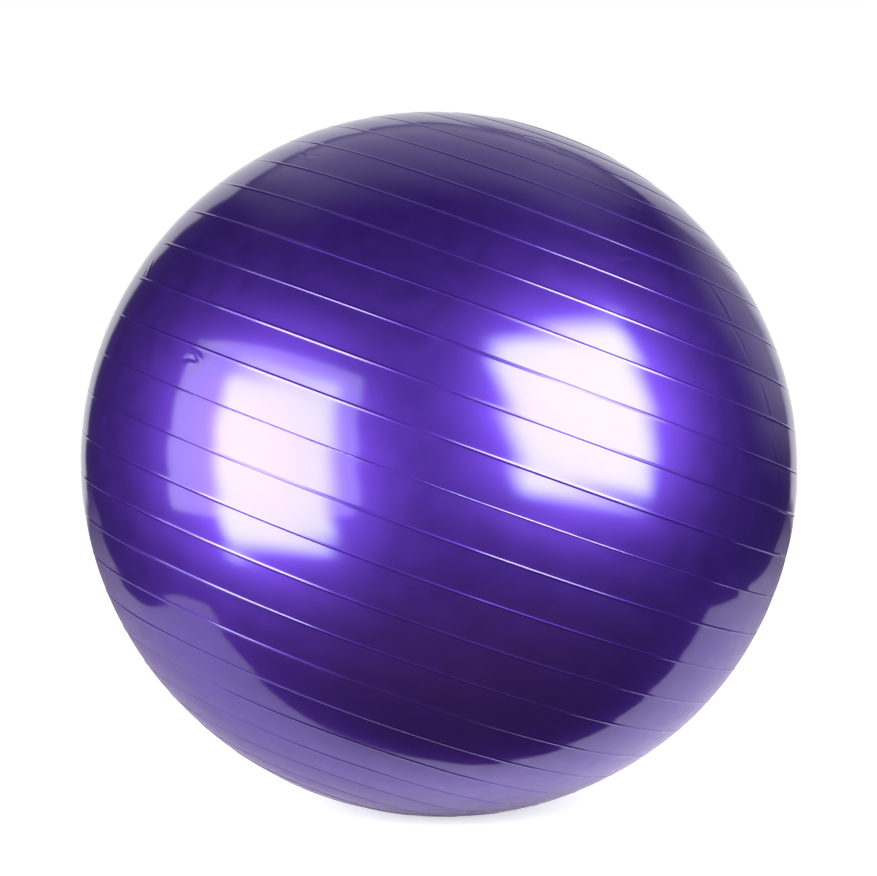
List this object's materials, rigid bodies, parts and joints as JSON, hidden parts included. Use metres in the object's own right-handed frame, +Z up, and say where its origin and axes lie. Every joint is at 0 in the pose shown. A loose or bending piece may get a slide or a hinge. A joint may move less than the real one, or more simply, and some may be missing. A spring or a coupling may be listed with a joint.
{
  "type": "exercise ball",
  "caption": "Inflated ribbed exercise ball at rest on the floor, with a flush valve at one pole and a plug that pulls out along the pole axis.",
  "frame": {"origin": "on the floor under the middle of the ball, inside the small flat that its weight presses", "axes": "+Z up. The valve pole leans 20 degrees from +Z towards +X. The ball is seen from -Y, with +X to the right."},
  "size_m": [0.6498, 0.6506, 0.6363],
  "materials": {
    "skin_vinyl": "gloss",
    "seat_vinyl": "satin",
    "plug_vinyl": "satin"
  },
  "bodies": {
    "ball": {"ball_skin": "skin_vinyl", "valve_seat": "seat_vinyl"},
    "plug": {"valve_plug": "plug_vinyl"}
  },
  "joints": [
    {"name": "plug_pull", "type": "slide", "parent": "ball", "child": "plug", "axis": [0.342, 0, 0.9397], "range_m": [0, 0.04]}
  ]
}
